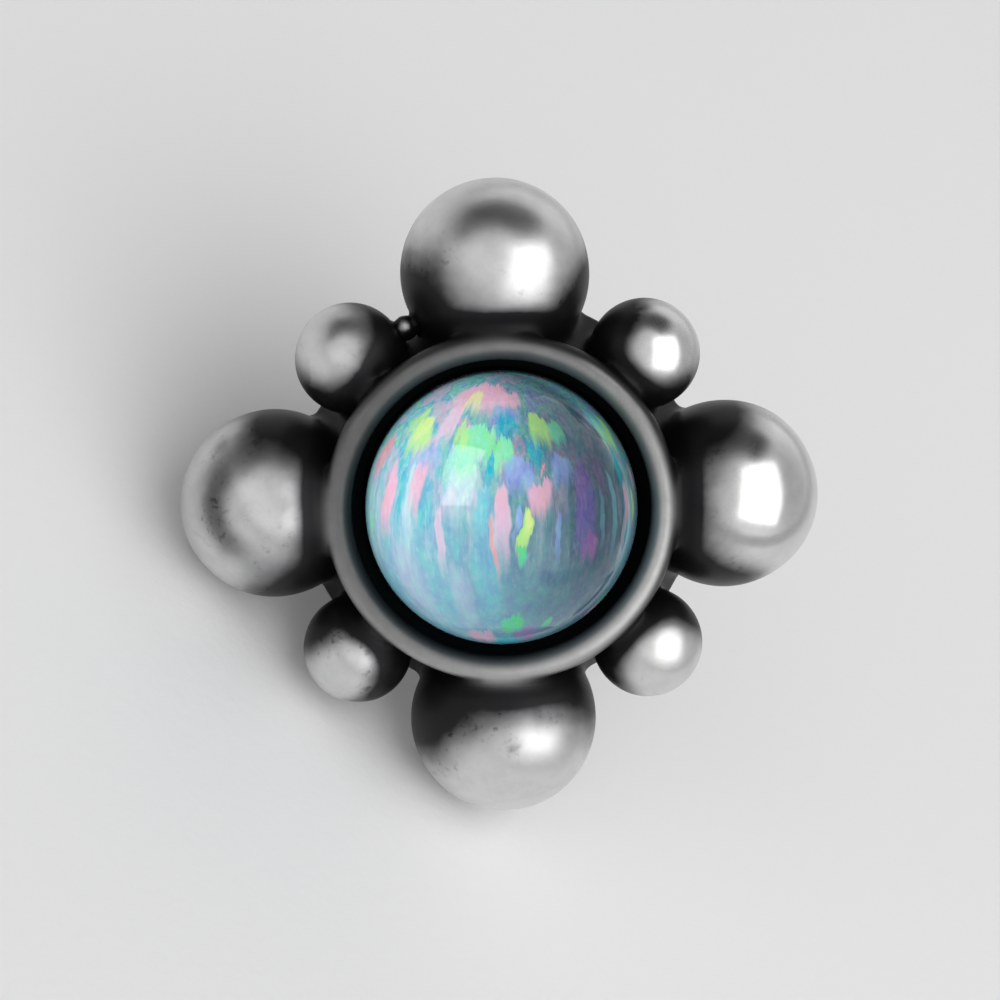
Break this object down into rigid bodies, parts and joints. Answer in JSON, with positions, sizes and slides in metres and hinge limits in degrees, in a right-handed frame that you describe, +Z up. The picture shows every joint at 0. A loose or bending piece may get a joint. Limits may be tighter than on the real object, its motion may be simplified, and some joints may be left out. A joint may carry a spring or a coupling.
{
  "type": "piercing top",
  "caption": "Decorative threaded end for a piercing: a domed opal in a darkened silver cup, ringed with large and small beads, on a bright threaded post.",
  "frame": {"origin": "middle of the resting footprint's bounding box, on the surface that it lies on", "axes": "+Z up from the surface that it lies on, -Y the side that the face looks to and up from, +X to the right seen from there; the left and right halves mirror each other across X = 0, but for the thread"},
  "size_m": [0.0034, 0.0028, 0.0029],
  "materials": {
    "setting": "darkened silver, satin on the beads and black in the recesses",
    "opal": "polished opal with a play of colour",
    "post": "bright turned steel"
  },
  "bodies": {
    "root": {"setting": "setting", "opal": "opal", "threaded_post": "post"}
  },
  "joints": []
}
